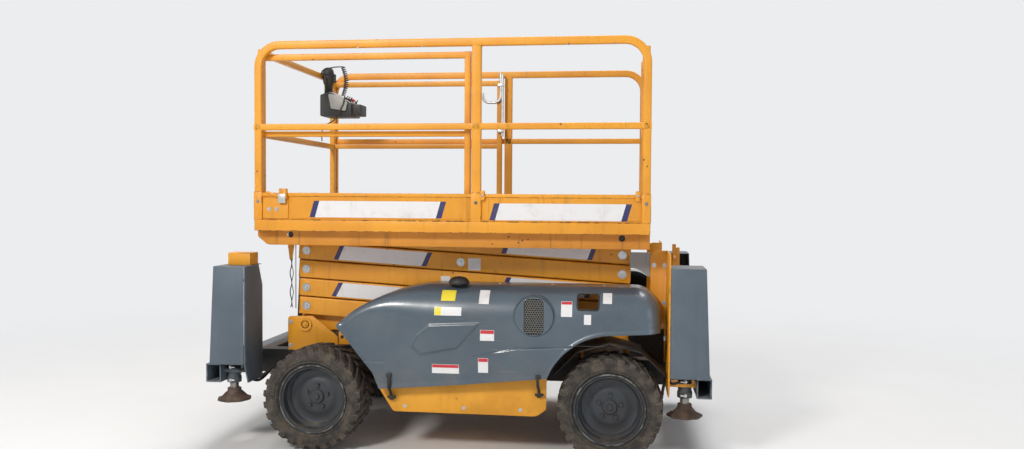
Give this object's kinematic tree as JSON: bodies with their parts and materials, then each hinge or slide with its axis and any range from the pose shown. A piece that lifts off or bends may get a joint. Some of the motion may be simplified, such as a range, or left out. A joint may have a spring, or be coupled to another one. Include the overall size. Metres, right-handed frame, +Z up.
{
  "type": "rough-terrain scissor lift",
  "caption": "Wheeled scissor lift in its stowed position, with a railed platform, a sliding deck extension, levelling jacks and hinged side hoods.",
  "frame": {"origin": "on the ground under the middle of the machine, with the wheels on the ground", "axes": "+Z up, +X towards the fixed rear end along the machine, the deck extension slides out towards -X, -Y is the side seen in the picture"},
  "size_m": [3.21, 1.8, 2.6163],
  "materials": {
    "orange_paint": "orange-yellow machine enamel, worn at edges",
    "hood_grey": "blue-grey moulded cover, semi-gloss, scuffed",
    "cover_grey": "blue-grey enamel on folded sheet",
    "rim_grey": "dark grey enamel",
    "tyre": "black lugged rubber",
    "axle_black": "black chassis enamel",
    "jack_grey": "grey enamel",
    "cylinder_black": "black enamel",
    "rod_chrome": "hard chrome rod",
    "engine": "dark cast iron",
    "tank": "black tank",
    "floor_sheet": "worn chequer plate",
    "black_plastic": "black moulded plastic"
  },
  "bodies": {
    "chassis": {"chassis_frame": "axle_black", "scissor_brackets": "orange_paint", "chassis_tracks": "orange_paint", "front_axle": "axle_black", "rear_axle": "axle_black", "front_end_beam": "cover_grey", "rear_end_beam": "cover_grey", "side_trays": "orange_paint", "rear_mudguards": "axle_black", "rear_ladder": "orange_paint", "engine_block": "engine", "tank_block": "tank", "front_jack_mounts": "cover_grey", "rear_jack_mounts": "orange_paint", "front_jack_caps": "orange_paint", "front_jack_covers": "cover_grey", "rear_jack_covers": "cover_grey", "front_jack_barrels": "jack_grey", "rear_jack_barrels": "jack_grey"},
    "knuckle_near": {"knuckle_near": "axle_black"},
    "knuckle_far": {"knuckle_far": "axle_black"},
    "tie_rod": {"tie_rod": "axle_black"},
    "wheel_front_near": {"rim_front_near": "rim_grey", "tyre_front_near": "tyre"},
    "wheel_front_far": {"rim_front_far": "rim_grey", "tyre_front_far": "tyre"},
    "wheel_rear_near": {"rim_rear_near": "rim_grey", "tyre_rear_near": "tyre"},
    "wheel_rear_far": {"rim_rear_far": "rim_grey", "tyre_rear_far": "tyre"},
    "jack_front_near": {"jack_leg_front_near": "jack_grey"},
    "jack_front_far": {"jack_leg_front_far": "jack_grey"},
    "jack_rear_near": {"jack_leg_rear_near": "jack_grey"},
    "jack_rear_far": {"jack_leg_rear_far": "jack_grey"},
    "hood_near": {"hood_near": "hood_grey", "vent_grille_near": "black_plastic", "intake_cap": "black_plastic"},
    "hood_far": {"hood_far": "hood_grey", "vent_grille_far": "black_plastic"},
    "lift_barrel": {"lift_barrel": "cylinder_black"},
    "lift_rod": {"lift_rod": "rod_chrome"},
    "platform": {"platform_deck": "orange_paint", "platform_skirts": "orange_paint", "platform_tracks": "orange_paint", "toe_boards": "orange_paint", "platform_rails": "orange_paint"},
    "gate": {"entry_gate": "orange_paint"},
    "extension": {"extension_deck": "floor_sheet", "extension_rails": "orange_paint", "control_box": "black_plastic"},
    "inner_arms_1": {"inner_arms_1": "orange_paint"},
    "outer_arms_1": {"outer_arms_1": "orange_paint"},
    "inner_arms_2": {"inner_arms_2": "orange_paint"},
    "outer_arms_2": {"outer_arms_2": "orange_paint"},
    "inner_arms_3": {"inner_arms_3": "orange_paint"},
    "outer_arms_3": {"outer_arms_3": "orange_paint"},
    "inner_arms_4": {"inner_arms_4": "orange_paint"},
    "outer_arms_4": {"outer_arms_4": "orange_paint"},
    "inner_arms_5": {"inner_arms_5": "orange_paint"},
    "outer_arms_5": {"outer_arms_5": "orange_paint"}
  },
  "joints": [
    {"name": "lift", "type": "hinge", "parent": "chassis", "child": "inner_arms_1", "pos_m": [-1.081, 0, 0.745], "axis": [0, -1, 0], "range_deg": [0, 56.5]},
    {"name": "cross_1", "type": "hinge", "parent": "inner_arms_1", "child": "outer_arms_1", "pos_m": [-0.0105, 0, 0.8079], "axis": [0, -1, 0], "range_deg": [-113, 0]},
    {"name": "fold_2", "type": "hinge", "parent": "outer_arms_1", "child": "inner_arms_2", "pos_m": [-1.081, 0, 0.8708], "axis": [0, -1, 0], "range_deg": [0, 113]},
    {"name": "cross_2", "type": "hinge", "parent": "inner_arms_2", "child": "outer_arms_2", "pos_m": [-0.0105, 0, 0.9337], "axis": [0, -1, 0], "range_deg": [-113, 0]},
    {"name": "fold_3", "type": "hinge", "parent": "outer_arms_2", "child": "inner_arms_3", "pos_m": [-1.081, 0, 0.9966], "axis": [0, -1, 0], "range_deg": [0, 113]},
    {"name": "cross_3", "type": "hinge", "parent": "inner_arms_3", "child": "outer_arms_3", "pos_m": [-0.0105, 0, 1.0595], "axis": [0, -1, 0], "range_deg": [-113, 0]},
    {"name": "fold_4", "type": "hinge", "parent": "outer_arms_3", "child": "inner_arms_4", "pos_m": [-1.081, 0, 1.1224], "axis": [0, -1, 0], "range_deg": [0, 113]},
    {"name": "cross_4", "type": "hinge", "parent": "inner_arms_4", "child": "outer_arms_4", "pos_m": [-0.0105, 0, 1.1853], "axis": [0, -1, 0], "range_deg": [-113, 0]},
    {"name": "fold_5", "type": "hinge", "parent": "outer_arms_4", "child": "inner_arms_5", "pos_m": [-1.081, 0, 1.2482], "axis": [0, -1, 0], "range_deg": [0, 113]},
    {"name": "cross_5", "type": "hinge", "parent": "inner_arms_5", "child": "outer_arms_5", "pos_m": [-0.0105, 0, 1.3111], "axis": [0, -1, 0], "range_deg": [-113, 0]},
    {"name": "platform_level", "type": "hinge", "parent": "outer_arms_5", "child": "platform", "pos_m": [-1.081, 0, 1.374], "axis": [0, -1, 0], "range_deg": [0, 56.5]},
    {"name": "lift_barrel_swing", "type": "hinge", "parent": "inner_arms_1", "child": "lift_barrel", "pos_m": [0.83091, 0, 0.85734], "axis": [0, -1, 0], "range_deg": [-121.21, 0]},
    {"name": "lift_rod_slide", "type": "slide", "parent": "lift_barrel", "child": "lift_rod", "axis": [-0.9959, 0, 0.0904], "range_m": [0, 0.7178]},
    {"name": "extension_slide", "type": "slide", "parent": "platform", "child": "extension", "axis": [-1, 0, 0], "range_m": [0, 0.92]},
    {"name": "gate_hinge", "type": "hinge", "parent": "platform", "child": "gate", "pos_m": [1.185, 0.3255, 2], "axis": [0, 0, -1], "range_deg": [0, 90]},
    {"name": "hood_near_hinge", "type": "hinge", "parent": "chassis", "child": "hood_near", "pos_m": [0, -0.52, 1.062], "axis": [-1, 0, 0], "range_deg": [0, 50]},
    {"name": "hood_far_hinge", "type": "hinge", "parent": "chassis", "child": "hood_far", "pos_m": [0, 0.52, 1.062], "axis": [1, 0, 0], "range_deg": [0, 50]},
    {"name": "steer_near", "type": "hinge", "parent": "chassis", "child": "knuckle_near", "pos_m": [-0.884, -0.61, 0.33], "axis": [0, 0, 1], "range_deg": [-30, 30]},
    {"name": "steer_far", "type": "hinge", "parent": "chassis", "child": "knuckle_far", "pos_m": [-0.884, 0.61, 0.33], "axis": [0, 0, 1], "range_deg": [-30, 30]},
    {"name": "tie_rod_swing", "type": "hinge", "parent": "knuckle_near", "child": "tie_rod", "pos_m": [-0.764, -0.61, 0.34], "axis": [0, 0, 1], "range_deg": [-30, 30]},
    {"name": "roll_front_near", "type": "hinge", "parent": "knuckle_near", "child": "wheel_front_near", "pos_m": [-0.884, -0.7475, 0.33], "axis": [0, 1, 0], "continuous": true},
    {"name": "roll_front_far", "type": "hinge", "parent": "knuckle_far", "child": "wheel_front_far", "pos_m": [-0.884, 0.7475, 0.33], "axis": [0, 1, 0], "continuous": true},
    {"name": "roll_rear_near", "type": "hinge", "parent": "chassis", "child": "wheel_rear_near", "pos_m": [0.994, -0.7475, 0.33], "axis": [0, 1, 0], "continuous": true},
    {"name": "roll_rear_far", "type": "hinge", "parent": "chassis", "child": "wheel_rear_far", "pos_m": [0.994, 0.7475, 0.33], "axis": [0, 1, 0], "continuous": true},
    {"name": "jack_front_near_slide", "type": "slide", "parent": "chassis", "child": "jack_front_near", "axis": [0, 0, -1], "range_m": [0, 0.38]},
    {"name": "jack_front_far_slide", "type": "slide", "parent": "chassis", "child": "jack_front_far", "axis": [0, 0, -1], "range_m": [0, 0.38]},
    {"name": "jack_rear_near_slide", "type": "slide", "parent": "chassis", "child": "jack_rear_near", "axis": [0, 0, -1], "range_m": [0, 0.38]},
    {"name": "jack_rear_far_slide", "type": "slide", "parent": "chassis", "child": "jack_rear_far", "axis": [0, 0, -1], "range_m": [0, 0.38]}
  ],
  "couplings": [
    {"joint": "cross_1", "follows": "lift", "ratio": -2},
    {"joint": "fold_2", "follows": "lift", "ratio": 2},
    {"joint": "cross_2", "follows": "lift", "ratio": -2},
    {"joint": "fold_3", "follows": "lift", "ratio": 2},
    {"joint": "cross_3", "follows": "lift", "ratio": -2},
    {"joint": "fold_4", "follows": "lift", "ratio": 2},
    {"joint": "cross_4", "follows": "lift", "ratio": -2},
    {"joint": "fold_5", "follows": "lift", "ratio": 2},
    {"joint": "cross_5", "follows": "lift", "ratio": -2},
    {"joint": "platform_level", "follows": "lift", "ratio": 1},
    {"joint": "lift_barrel_swing", "follows": "lift", "ratio": -2.1365},
    {"joint": "lift_rod_slide", "follows": "lift", "m_per_rad": 0.72586},
    {"joint": "steer_far", "follows": "steer_near", "ratio": 1},
    {"joint": "tie_rod_swing", "follows": "steer_near", "ratio": -1}
  ]
}
